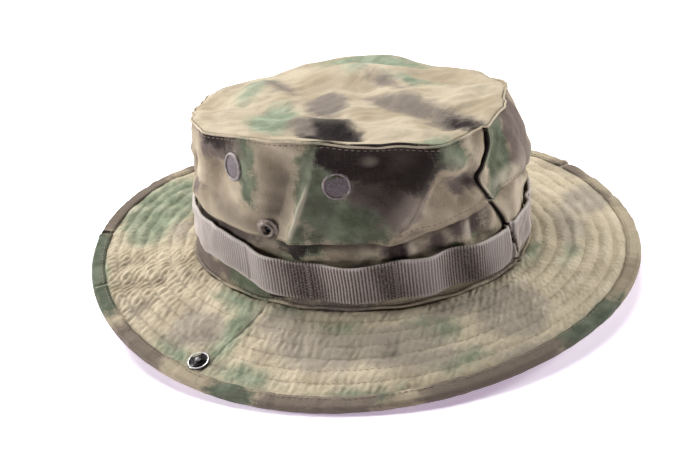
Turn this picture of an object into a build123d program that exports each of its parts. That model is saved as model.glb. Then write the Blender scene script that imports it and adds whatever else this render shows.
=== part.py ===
"""Boonie hat: a soft crown of joined panels on a stitched, stiffened brim.

Frame: +Z up, front of the hat towards -Y, wearer's left towards +X.
The origin is at the middle of the base, on the surface that the brim rests on.
Heights named "above the seam" count from the seam between crown and brim.
"""
from math import cos, exp, radians, sin
import os

from build123d import *

# ---- driving dimensions, mm ----
SEAM_Z = 24.42            # crown-to-brim seam above the surface
CROWN_HALF_WIDTH = 86.5   # outside of the crown at that seam
CROWN_HALF_LENGTH = 104.0
CROWN_TAPER = 0.0006      # share of the width lost per mm of height
BAND_TOP = 41.0           # seam between lower band and side panel, above the seam
SIDE_TOP = 90.0           # seam between side panel and tip, above the seam
TIP_RISE = 5.0            # middle of the tip above its own seam
CLOTH = 1.2               # folded, seamed cloth
LAP = 0.2                 # room between a wall and what lies on it

BRIM_HALF_WIDTH = 145.7   # edge of the cloth, inside the binding
BRIM_HALF_LENGTH = 160.8
BRIM_CLOTH = 0.8          # one cover cloth of the brim
BRIM_CORE = 1.4           # interlining
BINDING_WIDTH = 7.0
BINDING_CLOTH = 0.7

HINGE_X = 91.5            # fold line of each brim flap, from the middle plane
HINGE_RISE = 3.0          # fold axis above the seam
FOLD_GAP = 0.25           # half of the gap along the fold line

WEB_LOW = 8.0             # webbing's lower edge above the seam
WEB_WIDTH = 21.0
WEB_THICK = 1.4
BAR_TACKS = 12

SWEATBAND_TOP = 32.0
SWEATBAND_THICK = 1.3
TAPE_WIDTH = 12.0
TAPE_THICK = 0.8

VENT_R = 7.6
VENT_HOLE_R = 5.4
VENT_PLACES = {"front": (-8.4, 75.9), "rear": (26.6, 70.1)}   # angle, height above the seam
VENT_FLANGE = 0.8
VENT_WASHER = 0.6
VENT_SCREEN = 0.4
RIGHT_VENT_DROP = 11.0    # the right side of the crown has slumped, and its vents with it

CROWN_SNAP = (3.1, 45.3)        # angle, height above the seam
CROWN_SNAP_R = 6.3
CROWN_SNAP_FLANGE = 1.0
CROWN_SNAP_RISE = 2.4           # raised barrel of the socket
CROWN_SNAP_BARREL_R = 4.8
CROWN_SNAP_HOLE_R = 2.6
CROWN_RIVET_R = 5.8             # head of the rivet, inside the crown
CROWN_RIVET_HEAD = 0.8
BRIM_SNAP = (-5.8, 0.772)       # angle, share of the brim's width
BRIM_SNAP_R = 6.1
BRIM_SNAP_RING = 1.2            # height of the ring
BRIM_SNAP_DISH_R = 4.1          # dished middle of the ring
STUD_FOOT_R = 3.0
STUD_FOOT = 0.6
STUD_R = 2.1
STUD_RISE = 2.2
CAP_R = 5.8
CAP_HEIGHT = 1.0
RIVET_R = 1.8

WELT_RISE = 3.2                 # top of the base welt above the seam's layers
WELT_STANDOFF = 2.4
WELT_THICK = 2.2
TIP_SEAM_HEIGHT = 2.4
TACK_WIDTH = 1.4
TACK_RISE = 0.5
SIDE_SEAM = (34, 2.4, 0.7)      # length, width and height of a brim side seam
SIDE_SEAM_SHARE = 0.46          # its middle, as a share of the brim's width
TIP_TAPE_HEIGHT = 6.0
ROUND_CLEARANCE = 0.1           # room round a rivet or sleeve in its hole

STEP = 6                  # degrees between the brim's cross-sections
HALF_STACK = BRIM_CORE / 2 + BRIM_CLOTH
THROUGH = 12              # length of a hole cutter, longer than any wall
UPWARDS = (Align.CENTER, Align.CENTER, Align.MIN)
DOWNWARDS = (Align.CENTER, Align.CENTER, Align.MAX)


def save(builder, name):
    """Label a finished piece and write it to its own file."""
    builder.part.label = name
    export_step(builder.part, f"parts/{name}.step")


def rim_edges(builder, origin, direction, count=1):
    """Circular edges of a turned part that lie furthest along a direction."""
    circles = builder.edges().filter_by(GeomType.CIRCLE)
    return circles.sort_by(Axis(origin, direction))[-count:]


# ---- crown shapes ----
def crown_scale(height):
    return 1 - CROWN_TAPER * height


def crown_oval(height, inset, share=1.0):
    """Semi-axes of the crown's outside at a height, moved in by inset."""
    scale = crown_scale(height) * share
    return CROWN_HALF_WIDTH * scale - inset, CROWN_HALF_LENGTH * scale - inset


def oval_wall(low, high, inset, thick):
    """Wall that follows the crown between two heights, inset from its outside."""
    with BuildPart() as wall:
        for height in (low, high):
            with BuildSketch(Plane.XY.offset(SEAM_Z + height)):
                Ellipse(*crown_oval(height, inset))
        loft(ruled=True)
        for height in (low, high):
            with BuildSketch(Plane.XY.offset(SEAM_Z + height)):
                Ellipse(*crown_oval(height, inset + thick))
        loft(ruled=True, mode=Mode.SUBTRACT)
    return wall.part


def crown_plane(angle, height, side=1):
    """Plane that touches the crown at an angle, facing out. side is 1 left, -1 right."""
    half_width, half_length = crown_oval(height, 0)
    x = half_width * cos(radians(angle))
    y = half_length * sin(radians(angle))
    out = Vector(x / half_width**2, y / half_length**2, 0).normalized()
    normal = Vector(side * out.X, out.Y, CROWN_TAPER * CROWN_HALF_WIDTH)
    return Plane(origin=(side * x, y, SEAM_Z + height), x_dir=(-out.Y, side * out.X, 0), z_dir=normal)


def vent_place(name, side):
    """Angle and height of a vent. side is 1 left, -1 right."""
    angle, height = VENT_PLACES[name]
    return angle, height - (RIGHT_VENT_DROP if side == -1 else 0)


# ---- brim shapes ----
def edge_height(angle):
    """Height of the brim's edge above the crown seam: low at the left rear, wavy round the back."""
    t = radians(angle)
    wave = -4.1 - 11.9 * cos(t) - 10.1 * sin(t) - 2.0 * cos(2 * t) - 1.6 * cos(3 * t) - 1.0 * sin(3 * t)
    from_droop = (angle - 210 + 180) % 360 - 180
    return wave - 31.0 * exp(-((from_droop / 30.0) ** 2))


def brim_point(angle, share):
    """Point on the brim's middle layer. share is 0 at the crown and 1 at the edge."""
    t = radians(angle)
    x = (CROWN_HALF_WIDTH + share * (BRIM_HALF_WIDTH - CROWN_HALF_WIDTH)) * cos(t)
    y = (CROWN_HALF_LENGTH + share * (BRIM_HALF_LENGTH - CROWN_HALF_LENGTH)) * sin(t)
    return Vector(x, y, SEAM_Z + share * edge_height(angle))


def brim_plane(angle, share, side=1):
    """Plane that touches the brim's middle layer, facing up. side mirrors the angle."""
    angle = angle if side == 1 else 180 - angle
    across = brim_point(angle, share + 0.05) - brim_point(angle, share - 0.05)
    along = brim_point(angle + 1, share) - brim_point(angle - 1, share)
    return Plane(origin=brim_point(angle, share), x_dir=across, z_dir=across.cross(along))


def cross_section(angle):
    """Upright plane across the brim, its length at that angle and its slope."""
    root = brim_point(angle, 0)
    edge = brim_point(angle, 1)
    out = Vector(edge.X - root.X, edge.Y - root.Y, 0)
    plane = Plane(origin=root, x_dir=out, z_dir=out.cross(Vector(0, 0, 1)))
    return plane, out.length, (edge.Z - root.Z) / out.length


def brim_layer(start, end, low, high, keep_off=0.3):
    """One layer of the brim between two angles, from keep_off outside the crown to the edge."""
    with BuildPart() as layer:
        for angle in range(start, end + 1, STEP):
            plane, length, slope = cross_section(angle)
            fall = slope * length
            with BuildSketch(plane):
                with BuildLine():
                    Polyline(
                        (keep_off, low),
                        (length, fall + low),
                        (length, fall + high),
                        (keep_off, high),
                        close=True,
                    )
                make_face()
        loft(ruled=True)
    return layer.part


def edge_binding(start, end):
    """Folded strip that wraps the brim's edge between two angles."""
    inner = HALF_STACK + 0.05
    outer = inner + BINDING_CLOTH
    with BuildPart() as strip:
        for angle in range(start, end + 1, STEP):
            plane, length, slope = cross_section(angle)
            hem = length - BINDING_WIDTH
            lip = length + BINDING_CLOTH
            stop = length + 0.05
            with BuildSketch(plane):
                with BuildLine():
                    Polyline(
                        (hem, slope * hem - outer),
                        (lip, slope * lip - outer),
                        (lip, slope * lip + outer),
                        (hem, slope * hem + outer),
                        (hem, slope * hem + inner),
                        (stop, slope * stop + inner),
                        (stop, slope * stop - inner),
                        (hem, slope * hem - inner),
                        close=True,
                    )
                make_face()
        loft(ruled=True)
    return strip.part


FOLD_LEFT = Plane.YZ.offset(HINGE_X)
FOLD_RIGHT = Plane.YZ.offset(-HINGE_X)


def brim_cut(solid, zone, name):
    """Keep the part of a brim piece that lies in one zone, and save it."""
    with BuildPart() as piece:
        add(solid)
        if zone == "left":
            split(bisect_by=FOLD_LEFT.offset(FOLD_GAP), keep=Keep.TOP)
        elif zone == "right":
            split(bisect_by=FOLD_RIGHT.offset(-FOLD_GAP), keep=Keep.BOTTOM)
        else:
            split(bisect_by=FOLD_LEFT.offset(-FOLD_GAP), keep=Keep.BOTTOM)
            split(bisect_by=FOLD_RIGHT.offset(FOLD_GAP), keep=Keep.TOP)
        if zone != "centre":
            side = 1 if zone == "left" else -1
            with Locations(brim_plane(*BRIM_SNAP, side)):
                Cylinder(RIVET_R + ROUND_CLEARANCE, THROUGH, mode=Mode.SUBTRACT)
    save(piece, name)


os.makedirs("parts", exist_ok=True)

# ---- crown: tip ----
tip_levels = [(0, 1.0), (TIP_RISE / 2, 0.84), (TIP_RISE, 0.5)]
with BuildPart() as crown_tip:
    for rise, share in tip_levels:
        with BuildSketch(Plane.XY.offset(SEAM_Z + SIDE_TOP + LAP + rise)):
            Ellipse(*crown_oval(SIDE_TOP, 0, share))
    loft(ruled=True)
    for rise, share in tip_levels:
        lower = max(rise - CLOTH, 0)
        with BuildSketch(Plane.XY.offset(SEAM_Z + SIDE_TOP + LAP + lower)):
            Ellipse(*crown_oval(SIDE_TOP, CLOTH, share))
    loft(ruled=True, mode=Mode.SUBTRACT)
save(crown_tip, "crown_tip")

with BuildPart() as crown_tip_seam:
    add(oval_wall(SIDE_TOP - TIP_SEAM_HEIGHT, SIDE_TOP, -1.0, 0.9))
save(crown_tip_seam, "crown_tip_seam")

# ---- crown: side panels and lower bands, with their holes ----
for side_name, side in (("left", 1), ("right", -1)):
    keep = Keep.TOP if side == 1 else Keep.BOTTOM
    middle = Plane.YZ.offset(0.1 * side)
    vent_planes = [crown_plane(*vent_place(name, side), side) for name in VENT_PLACES]
    snap_plane = crown_plane(*CROWN_SNAP, side)

    with BuildPart() as crown_side:
        add(oval_wall(BAND_TOP + LAP, SIDE_TOP, 0, CLOTH))
        split(bisect_by=middle, keep=keep)
        with Locations(*vent_planes):
            Cylinder(VENT_HOLE_R + ROUND_CLEARANCE, THROUGH, mode=Mode.SUBTRACT)
        with Locations(snap_plane):
            Cylinder(RIVET_R + ROUND_CLEARANCE, THROUGH, mode=Mode.SUBTRACT)
    save(crown_side, f"crown_side_{side_name}")

    with BuildPart() as crown_band:
        add(oval_wall(-HALF_STACK, BAND_TOP, 0, CLOTH))
        split(bisect_by=middle, keep=keep)
        with Locations(snap_plane):
            Cylinder(RIVET_R + ROUND_CLEARANCE, THROUGH, mode=Mode.SUBTRACT)
    save(crown_band, f"crown_band_{side_name}")

with BuildPart() as crown_base_welt:
    add(oval_wall(HALF_STACK + 2 * LAP, HALF_STACK + WELT_RISE, -WELT_STANDOFF, WELT_THICK))
save(crown_base_welt, "crown_base_welt")

# ---- crown: webbing band with its bar tacks ----
with BuildPart() as webbing_band:
    add(oval_wall(WEB_LOW, WEB_LOW + WEB_WIDTH, -LAP - WEB_THICK, WEB_THICK))
save(webbing_band, "webbing_band")

tack_length = WEB_WIDTH - 2.0
with BuildPart() as webbing_bar_tacks:
    for tack in range(BAR_TACKS):
        tack_angle = 360 / BAR_TACKS * (tack + 0.5)
        tack_plane = crown_plane(tack_angle, WEB_LOW + WEB_WIDTH / 2)
        with Locations(tack_plane.offset(LAP + WEB_THICK + 0.1)):
            Box(TACK_WIDTH, tack_length, TACK_RISE, align=UPWARDS)
save(webbing_bar_tacks, "webbing_bar_tacks")

# ---- inside of the crown: sweatband and seam tapes ----
inside = CLOTH + LAP
with BuildPart() as sweatband:
    add(oval_wall(-HALF_STACK - 0.5, SWEATBAND_TOP, inside, SWEATBAND_THICK))
save(sweatband, "sweatband")

tip_tape_low = SIDE_TOP - TIP_TAPE_HEIGHT
for end_name, end_side in (("front", -1), ("back", 1)):
    with BuildPart() as seam_tape:
        add(oval_wall(SWEATBAND_TOP + 0.5, tip_tape_low - 0.5, inside, TAPE_THICK))
        with Locations((0, end_side * CROWN_HALF_LENGTH, SEAM_Z + SIDE_TOP / 2)):
            Box(TAPE_WIDTH, CROWN_HALF_LENGTH, 2 * SIDE_TOP, mode=Mode.INTERSECT)
    save(seam_tape, f"seam_tape_{end_name}")

with BuildPart() as seam_tape_tip:
    add(oval_wall(tip_tape_low, SIDE_TOP - 0.5, inside, TAPE_THICK))
save(seam_tape_tip, "seam_tape_tip")

# ---- vents: eyelet ring, mesh screen and inner washer ----
wall_room = CLOTH + 0.4
for side_name, side in (("left", 1), ("right", -1)):
    for place_name in VENT_PLACES:
        face = crown_plane(*vent_place(place_name, side), side)
        with BuildPart(face.offset(0.05)) as vent_eyelet:
            Cylinder(VENT_R, VENT_FLANGE, align=UPWARDS)
            with Locations((0, 0, -wall_room - VENT_FLANGE)):
                Cylinder(VENT_HOLE_R, wall_room + VENT_FLANGE, align=UPWARDS)
            Cylinder(VENT_HOLE_R - 0.5, THROUGH, mode=Mode.SUBTRACT)
            chamfer(rim_edges(vent_eyelet, face.origin, face.z_dir, 2), 0.3)
        save(vent_eyelet, f"vent_eyelet_{side_name}_{place_name}")

        with BuildPart(face.offset(0.1)) as vent_screen:
            Cylinder(VENT_HOLE_R - 0.52, VENT_SCREEN, align=UPWARDS)
        save(vent_screen, f"vent_screen_{side_name}_{place_name}")

        with BuildPart(face.offset(-wall_room)) as vent_washer:
            Cylinder(VENT_R, VENT_WASHER, align=DOWNWARDS)
            Cylinder(VENT_HOLE_R + 0.05, THROUGH, mode=Mode.SUBTRACT)
        save(vent_washer, f"vent_washer_{side_name}_{place_name}")

# ---- snaps: socket on the crown, stud on the brim ----
for side_name, side in (("left", 1), ("right", -1)):
    face = crown_plane(*CROWN_SNAP, side)
    with BuildPart(face.offset(0.05)) as crown_snap_socket:
        Cylinder(CROWN_SNAP_R, CROWN_SNAP_FLANGE, align=UPWARDS)
        Cylinder(CROWN_SNAP_BARREL_R, CROWN_SNAP_RISE, align=UPWARDS)
        with Locations((0, 0, CROWN_SNAP_FLANGE)):
            Cylinder(CROWN_SNAP_HOLE_R, THROUGH, align=UPWARDS, mode=Mode.SUBTRACT)
        Cylinder(RIVET_R + 0.02, THROUGH, mode=Mode.SUBTRACT)
    save(crown_snap_socket, f"crown_snap_socket_{side_name}")

    with BuildPart(face.offset(-wall_room)) as crown_snap_rivet:
        Cylinder(CROWN_RIVET_R, CROWN_RIVET_HEAD, align=DOWNWARDS)
        Cylinder(RIVET_R, wall_room + CROWN_RIVET_HEAD, align=UPWARDS)
    save(crown_snap_rivet, f"crown_snap_rivet_{side_name}")

    top = brim_plane(*BRIM_SNAP, side).offset(HALF_STACK + 0.15)
    with BuildPart(top) as brim_snap_ring:
        Cylinder(BRIM_SNAP_R, BRIM_SNAP_RING, align=UPWARDS)
        chamfer(rim_edges(brim_snap_ring, top.origin, top.z_dir), 0.5)
        with Locations((0, 0, 0.3)):
            Cylinder(BRIM_SNAP_DISH_R, THROUGH, align=UPWARDS, mode=Mode.SUBTRACT)
        Cylinder(RIVET_R + 0.02, THROUGH, mode=Mode.SUBTRACT)
    save(brim_snap_ring, f"brim_snap_ring_{side_name}")

    with BuildPart(top.offset(0.35)) as brim_snap_stud:
        Cylinder(STUD_FOOT_R, STUD_FOOT, align=UPWARDS)
        Cylinder(STUD_R, STUD_RISE, align=UPWARDS)
        chamfer(rim_edges(brim_snap_stud, top.origin, top.z_dir), 0.4)
        Cylinder(RIVET_R, 2 * HALF_STACK + 0.6, align=DOWNWARDS)
    save(brim_snap_stud, f"brim_snap_stud_{side_name}")

    under = brim_plane(*BRIM_SNAP, side).offset(-HALF_STACK - 0.15)
    with BuildPart(under) as brim_snap_cap:
        Cylinder(CAP_R, CAP_HEIGHT, align=DOWNWARDS)
        chamfer(rim_edges(brim_snap_cap, under.origin, -under.z_dir), 0.4)
        Cylinder(RIVET_R + 0.02, THROUGH, mode=Mode.SUBTRACT)
    save(brim_snap_cap, f"brim_snap_cap_{side_name}")

# ---- brim: cover cloths, interlining, binding and side seams ----
cover_heights = {"upper": (BRIM_CORE / 2, HALF_STACK), "lower": (-HALF_STACK, -BRIM_CORE / 2)}
for cover, (low, high) in cover_heights.items():
    for panel, start in (("rear", 0), ("front", 180)):
        panel_cloth = brim_layer(start, start + 180, low, high)
        for zone in ("left", "centre", "right"):
            brim_cut(panel_cloth, zone, f"brim_{cover}_{panel}_{zone}")

core = (-BRIM_CORE / 2, BRIM_CORE / 2)
brim_cut(brim_layer(0, 180, *core), "centre", "brim_interlining_rear")
brim_cut(brim_layer(180, 360, *core), "centre", "brim_interlining_front")
brim_cut(brim_layer(-78, 78, *core), "left", "brim_interlining_left")
brim_cut(brim_layer(102, 258, *core), "right", "brim_interlining_right")

brim_cut(edge_binding(0, 180), "centre", "brim_binding_rear")
brim_cut(edge_binding(180, 360), "centre", "brim_binding_front")
brim_cut(edge_binding(-78, 78), "left", "brim_binding_left")
brim_cut(edge_binding(102, 258), "right", "brim_binding_right")

for side_name, side in (("left", 1), ("right", -1)):
    seam_plane = brim_plane(0, SIDE_SEAM_SHARE, side).offset(HALF_STACK + 0.1)
    with BuildPart(seam_plane) as brim_side_seam:
        Box(*SIDE_SEAM, align=UPWARDS)
    save(brim_side_seam, f"brim_side_seam_{side_name}")
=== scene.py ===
"""Boonie hat: the cloth, webbing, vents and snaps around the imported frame.

Shapes are worked out in millimetres, with heights counted from the seam between crown and brim,
and are turned into metres in the row frame when their meshes are made.
Angles run round the crown: 0 is the wearer's left, 90 the back, 180 the right, 270 the front.
"""
from math import cos, pi, radians, sin

import bpy
import numpy as np
from mathutils import Matrix, Vector


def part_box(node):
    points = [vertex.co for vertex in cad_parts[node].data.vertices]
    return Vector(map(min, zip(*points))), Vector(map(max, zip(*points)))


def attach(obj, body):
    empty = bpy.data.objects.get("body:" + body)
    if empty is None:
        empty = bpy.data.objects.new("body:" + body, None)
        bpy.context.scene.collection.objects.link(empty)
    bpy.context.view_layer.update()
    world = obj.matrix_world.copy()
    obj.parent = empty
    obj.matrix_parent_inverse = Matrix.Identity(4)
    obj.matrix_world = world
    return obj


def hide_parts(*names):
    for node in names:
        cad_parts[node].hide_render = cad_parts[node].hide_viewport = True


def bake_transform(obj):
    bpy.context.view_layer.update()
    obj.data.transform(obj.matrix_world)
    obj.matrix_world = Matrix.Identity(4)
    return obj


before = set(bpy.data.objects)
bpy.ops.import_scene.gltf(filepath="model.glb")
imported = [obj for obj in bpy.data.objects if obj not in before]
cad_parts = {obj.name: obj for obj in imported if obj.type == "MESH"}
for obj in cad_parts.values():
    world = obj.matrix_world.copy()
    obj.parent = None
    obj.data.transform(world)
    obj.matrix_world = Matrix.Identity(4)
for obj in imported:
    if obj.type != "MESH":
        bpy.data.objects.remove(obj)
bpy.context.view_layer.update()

# ---- sizes taken from the frame, mm ----
MM = 0.001
HALF_STACK = 1.5                 # half of the brim's three layers
WELT_STANDOFF = 2.4
SEAM_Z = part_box("crown_base_welt")[0].z / MM - HALF_STACK - 0.4
HALF_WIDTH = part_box("crown_base_welt")[1].x / MM - WELT_STANDOFF + 0.1
HALF_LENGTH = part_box("crown_base_welt")[1].y / MM - WELT_STANDOFF + 0.1
BINDING_CLOTH = 0.7
BRIM_HALF_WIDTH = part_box("brim_binding_left")[1].x / MM - BINDING_CLOTH
BRIM_HALF_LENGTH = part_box("brim_binding_rear")[1].y / MM - BINDING_CLOTH

CROWN_TAPER = 0.0006             # share of the crown's width lost per mm of height
CROWN_RADIUS = 95.0              # mean radius, for turning angles into lengths
BRIM_WIDTH = 58.0                # mean width
MM_PER_DEGREE = 2 * pi * CROWN_RADIUS / 360
EDGE_MM_PER_DEGREE = 2.6         # along the brim's edge
SNAP_ON_BRIM = (-5.8, 0.772)     # angle, share of the brim's width
SNAP_ON_CROWN = (3.1, 45.3)      # angle, height
VENTS = {"front": (-8.4, 75.9), "rear": (26.6, 70.1)}
RIGHT_VENT_DROP = 11.0
STITCH_ROWS = 8
WEB_WIDTH = 21.0
BINDING_WIDTH = 7.6
BINDING_HALF = HALF_STACK + 0.75
WELT_SIDES = 8


# ---- small helpers on numbers ----
def wrap(angle):
    """Angle brought between -180 and 180 degrees."""
    return (np.asarray(angle, float) + 180) % 360 - 180


def around(points, blur=4.0):
    """Smooth closed curve through (angle, value) points, as a function of the angle."""
    grid = np.arange(360.0)
    angles, values = zip(*points)
    sampled = np.interp(grid, angles, values, period=360)
    kernel = np.exp(-0.5 * (wrap(grid) / blur) ** 2)
    smooth = np.real(np.fft.ifft(np.fft.fft(sampled) * np.fft.fft(kernel / kernel.sum())))
    return lambda angle: np.interp(np.asarray(angle) % 360, grid, smooth, period=360)


def ripples(points, size, seed, waves=16):
    """Sum of seeded plane waves of about one wavelength: soft, even unevenness of unit strength."""
    rng = np.random.default_rng(seed)
    total = np.zeros(points.shape[:-1])
    for _ in range(waves):
        direction = rng.normal(size=points.shape[-1])
        direction *= 2 * pi / size * rng.uniform(0.7, 1.5) / np.linalg.norm(direction)
        total += np.sin(points @ direction + rng.uniform(0, 2 * pi))
    return total / np.sqrt(waves)


def folds(u, v, shapes):
    """Height of soft ridges and hollows: each is (u, v, half length, half width, turn, amount)."""
    total = np.zeros(np.broadcast(u, v).shape)
    for at_u, at_v, length, width, turn, amount in shapes:
        c, s = cos(radians(turn)), sin(radians(turn))
        along = (u - at_u) * c + (v - at_v) * s
        aside = -(u - at_u) * s + (v - at_v) * c
        total += amount * np.exp(-((along / length) ** 2) - (aside / width) ** 2)
    return total


def bump(value, centre, width):
    """Bell-shaped rise of 1 at the centre."""
    return np.exp(-(((value - centre) / width) ** 2))


def ramp(value, start, end):
    """Smooth rise from 0 to 1."""
    t = np.clip((value - start) / (end - start), 0, 1)
    return t * t * (3 - 2 * t)


def unit(vectors):
    """Vectors brought to a length of one."""
    return vectors / np.maximum(np.linalg.norm(vectors, axis=-1, keepdims=True), 1e-9)


def ring_grid(columns, rows, low=0.0, high=1.0):
    """Angles all round the hat against a second value that runs from low to high."""
    return np.meshgrid(np.linspace(0, 360, columns, endpoint=False), np.linspace(low, high, rows))


def arc_length(angle):
    """Length round the crown, in mm."""
    return angle * MM_PER_DEGREE


# ---- crown: seams ----
tip_seam = around([
    (0, 94), (17, 94.5), (30, 91.5), (43, 88), (58, 84.5), (72, 85), (82, 84.5), (100, 86), (122, 85),
    (141, 79), (160, 78), (176, 76.5), (183, 77), (190, 82), (204, 80.5), (218, 77), (240, 74), (262, 75.5),
    (285, 75), (300, 80), (320, 86.5), (335, 90), (345, 90), (353, 92),
], blur=3)
low_seam = around([
    (0, 40.5), (15, 40.5), (28, 39.5), (38, 38.5), (44, 42.5), (52, 43), (62, 44), (72, 47), (84, 49),
    (92, 49.5), (100, 48), (112, 45), (122, 42), (150, 40), (200, 42), (250, 40), (300, 43), (325, 45),
    (340, 42.5),
])
web_low = around([
    (0, 10), (10, 8.3), (20, 7.7), (40, 8), (60, 8.4), (84, 7.7), (130, 8), (200, 9), (260, 8), (310, 14),
    (325, 19), (340, 18.5), (352, 14.5),
], blur=3)


def back_seam(height):
    """Angle of the centre-back seam at a height: it leans and bends in an S."""
    heights = (0, 8, 18, 26, 33, 44, 50, 57, 61, 66, 71, 77, 84, 92)
    angles = (91.5, 90.5, 87.5, 84.5, 84.0, 80.0, 76.5, 72.6, 72.8, 76.0, 80.6, 82.3, 81.5, 80.2)
    drift = (-4.0, -2.0, 0.0, 2.0, 4.0)
    return sum(np.interp(np.asarray(height) + step, heights, angles) for step in drift) / len(drift)


def ring_push(angle):
    """The opening is a little narrower across one diagonal than a plain oval, in mm."""
    return -2.0 * (1 + np.cos(2 * np.radians(np.asarray(angle) + 58)))


def front_seam(height):
    """Angle of the centre-front seam at a height."""
    return -90 + 3 * np.sin(np.asarray(height) / 20)


# ---- crown: the wall ----
# each: angle, height, half length mm, half width mm, turn, push outwards mm
WALL_FOLDS = [
    (-60, 88, 40, 20, 0, -7.0), (-58, 46, 30, 20, 0, -7.0), (-58, 68, 14, 10, 0, -2.0),
    (-37, 58, 12, 12, 0, -2.6), (114, 38, 14, 8, 0, 2.8), (-58, 18, 30, 12, 0, -2.5),
    (122, 60, 34, 22, 0, 5.0), (108, 88, 22, 12, 0, -5.0), (41, 72, 19, 14, 25, -8.5),
    (28, 88, 10, 7, 0, -3.0), (63, 77, 11, 7, -20, 5.0), (51, 60, 22, 3.6, 52, 6.5),
    (46, 66, 20, 5.5, 52, -2.6), (68, 73, 10, 5.0, -10, 2.6), (68, 62, 12, 4.5, -15, -3.6),
    (0, 76, 14, 16, 0, 1.9), (-17, 76, 14, 16, 0, -1.9), (15, 58, 19, 2.4, 68, 5.2),
    (22, 53, 18, 5.0, 70, -3.2), (8, 60, 18, 4.0, 70, -2.4), (2, 62, 16, 10, 75, 1.6),
    (-9, 62, 12, 8, 0, 1.4), (-9, 92, 13, 8, 0, -2.2), (-24, 74, 16, 9, 80, 2.6),
    (-36, 66, 8, 5.0, 60, -4.5), (-30, 56, 14, 5.0, 20, 2.0), (72, 58, 16, 6.0, 60, 2.4),
    (70, 72, 10, 5.0, -60, -2.4), (98, 66, 22, 12.0, 85, 2.0), (150, 70, 24, 8.0, 60, 3.0),
    (172, 62, 22, 7.0, 80, -3.0), (195, 72, 20, 12, 30, -5.0), (215, 58, 24, 6.0, 60, 3.5),
    (238, 70, 20, 9.0, 100, -4.0), (256, 56, 22, 6.0, 75, 3.0), (285, 60, 20, 7.0, 100, 3.0),
    (300, 62, 16, 6.0, 60, -3.0),
]
# the lower band puckers between the webbing and its own seam
BAND_FOLDS = [
    (-20, 34, 9, 3.0, 70, 1.2), (8, 35, 9, 4.0, 80, -1.8), (20, 33, 8, 4.0, 30, 1.0),
    (33, 34, 8, 4, 80, 0.9), (41, 36, 9, 3.2, 95, -2.2), (46, 35, 9, 2.6, 95, 1.8),
    (55, 36, 9, 3.0, 85, -1.2), (64, 37, 10, 3.0, 95, 2.2), (70, 36, 9, 3.0, 95, -2.2),
    (78, 38, 9, 3.0, 70, 1.2), (92, 33, 12, 8.0, 0, 5.5), (110, 32, 9, 4.0, 90, -2.0),
]


# along the band in mm, height, half length, half width, turn, how pale (above 0) or dark (below 0): painted
# highlight and painted shade on its puckers
BAND_PAINTED_LIGHT = [
    (112, 35, 10, 3.2, 95, 1.0), (78, 35, 9, 2.6, 95, 0.8), (69, 35, 9, 3.6, 95, -0.9),
    (93, 36, 9, 5.0, 85, -0.6), (128, 38, 9, 6.0, 70, -0.7), (-20, 37, 34, 7.0, -10, -0.5),
    (170, 42, 16, 10, 0, 0.8),
]


def stand_off_seam(angle, height):
    """Step at the two upright seams: proud on one side, sunk on the other, in mm."""
    step = 0.0
    for edge in (back_seam(height), front_seam(height)):
        off = arc_length(wrap(angle - edge))
        step = step + np.where(off > 0.05, 1.5 * bump(off, 0, 6.0), -1.3 * bump(off, 0, 2.6))
    return step


def metal_calm(angle, height, reach=9.0):
    """The cloth's unevenness dies away round the vents and the snap."""
    calm = 1.0
    for at, level in [SNAP_ON_CROWN, *VENTS.values()]:
        distance = np.hypot(arc_length(wrap(angle - at)), height - level)
        calm = calm * (1 - 0.8 * bump(distance, 0, reach))
    return calm


def push_out(angle, height, band=False):
    """How far the crown's cloth stands off its plain oval, in mm."""
    theta = np.radians(np.asarray(angle, float))
    height = np.asarray(height, float)
    x, y = CROWN_RADIUS * np.cos(theta), CROWN_RADIUS * np.sin(theta)
    base = np.stack(np.broadcast_arrays(x, y, height), -1)
    shift = np.zeros(base.shape[:-1])
    for at, level, *shape in WALL_FOLDS + (BAND_FOLDS if band else []):
        shift += folds(arc_length(wrap(angle - at)), height, [(0, level, *shape)])
    calm = metal_calm(angle, height)
    seam = low_seam(angle)
    shift += 2.6 * bump(height, seam + 7, 7.0) * calm
    pinch = 3.2 - 2.4 * bump(wrap(angle), -34, 30) if band else 0.9
    shift -= pinch * bump(height, seam, 4.0 if band else 2.0)
    shift += 0.9 * ripples(base, 30, 11) * calm + 0.35 * ripples(base, 11, 12) * calm
    return shift * ramp(height, -2, 14) + stand_off_seam(angle, height)


def outwards(angle):
    """Level unit vectors square to the crown's oval."""
    theta = np.radians(angle)
    return unit(np.stack([np.cos(theta) / HALF_WIDTH, np.sin(theta) / HALF_LENGTH], -1))


def crown_point(angle, height, lift=0.0, band=False):
    """Points on the crown's outside, in mm from the middle of the crown seam."""
    angle, height = np.broadcast_arrays(np.asarray(angle, float), np.asarray(height, float))
    theta = np.radians(angle)
    scale = 1 - CROWN_TAPER * height
    oval = np.stack([HALF_WIDTH * scale * np.cos(theta), HALF_LENGTH * scale * np.sin(theta)], -1)
    shift = push_out(angle, height, band) + ring_push(angle) + lift
    return np.concatenate([oval + outwards(angle) * shift[..., None], height[..., None]], -1)


# ---- crown: the tip ----
TIP_MIDDLE = (-4.0, -2.0, 84.0)
# each: x, y, half length, half width, turn, height mm
TIP_FOLDS = [
    (58, 33, 14, 9, 115, -8.0), (40, 10, 22, 7, 100, 3.4), (12, 66, 30, 7, 66, -4.5),
    (34, 62, 22, 6, 105, 3.4), (-42, -12, 30, 12, 110, 5.0), (-20, -10, 34, 9, 110, -3.0),
    (0, -60, 22, 14, 40, 4.5), (46, -50, 18, 10, 60, 2.6), (30, -30, 24, 7, 70, -2.0),
    (-10, 40, 40, 10, 30, 3.0), (-34, 66, 18, 9, 130, 3.0), (10, 10, 30, 8, 45, 1.6),
    (-50, 30, 20, 8, 80, -3.0), (66, -18, 14, 6, 80, 1.8),
]


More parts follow.
